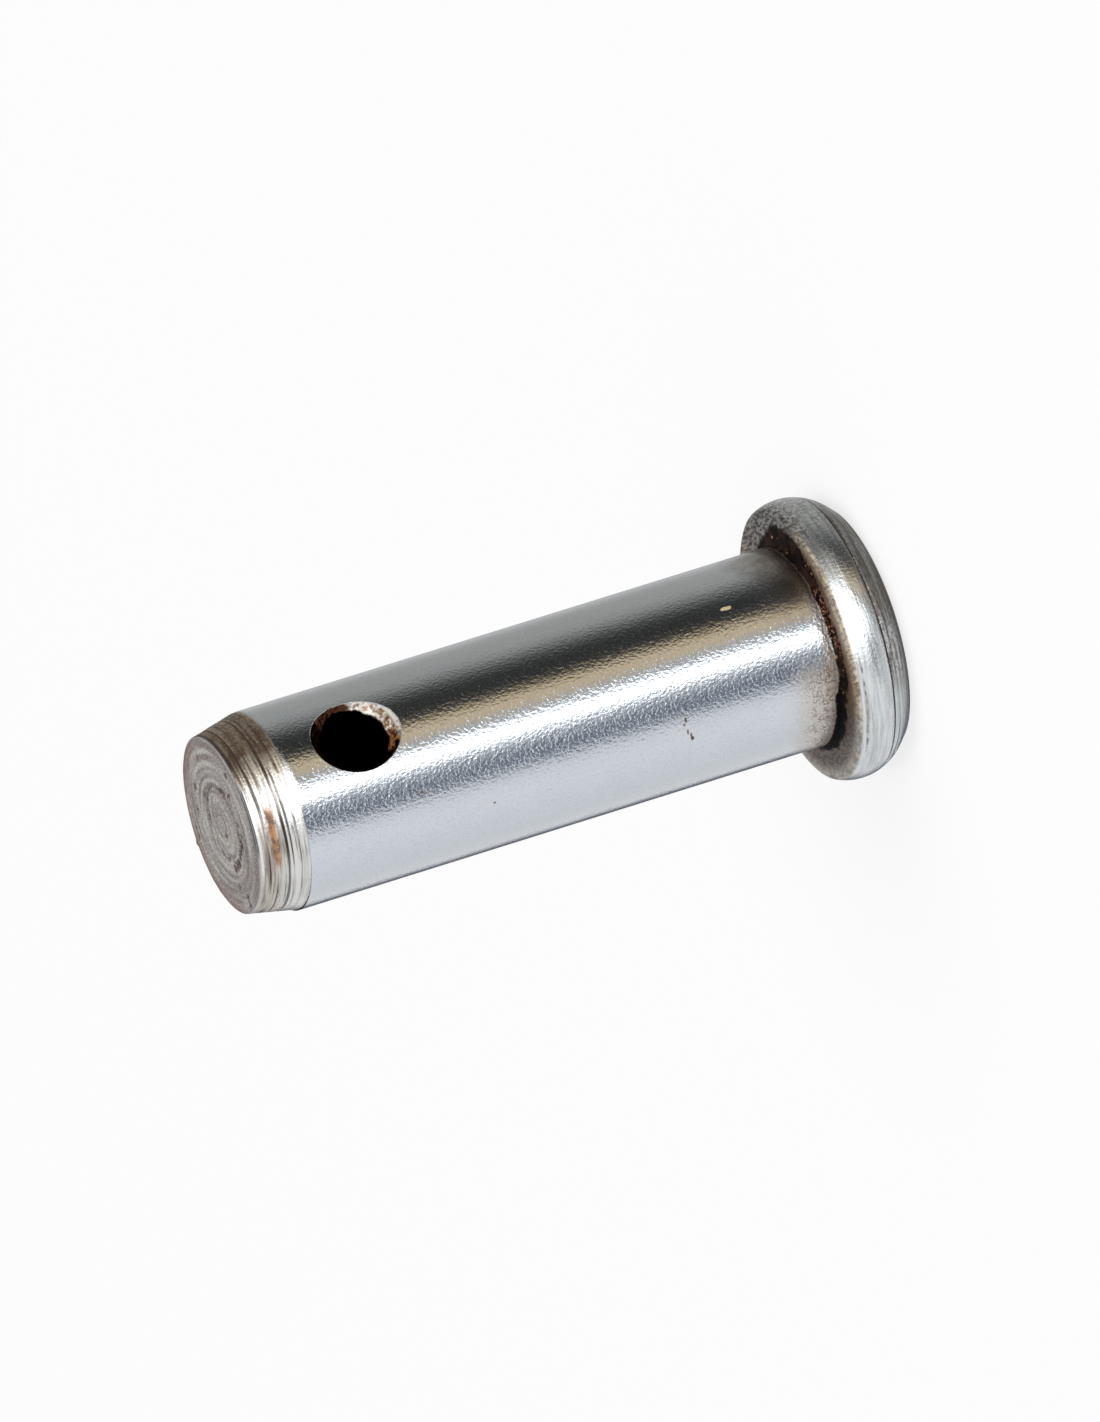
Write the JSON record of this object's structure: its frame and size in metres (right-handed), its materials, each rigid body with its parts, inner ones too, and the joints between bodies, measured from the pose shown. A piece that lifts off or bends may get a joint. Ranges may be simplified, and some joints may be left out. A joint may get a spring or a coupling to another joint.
{
  "type": "clevis pin",
  "caption": "Headed steel pin that joins a clevis to an eye: round head with a crowned rim, plain shank, tapered point, countersunk cross hole for a cotter.",
  "frame": {"origin": "centre of the head's outer flat face, on which the pin stands", "axes": "+Z along the pin's axis from the head to the pointed end; the cross hole runs along Y"},
  "size_m": [0.011, 0.011, 0.0266],
  "materials": {
    "steel": "satin bright plated steel, smooth turned shank, tool marks on point and end, brown rust and dirt in the cross hole, on the point and under the head"
  },
  "bodies": {
    "root": {"clevis_pin": "steel"}
  },
  "joints": []
}
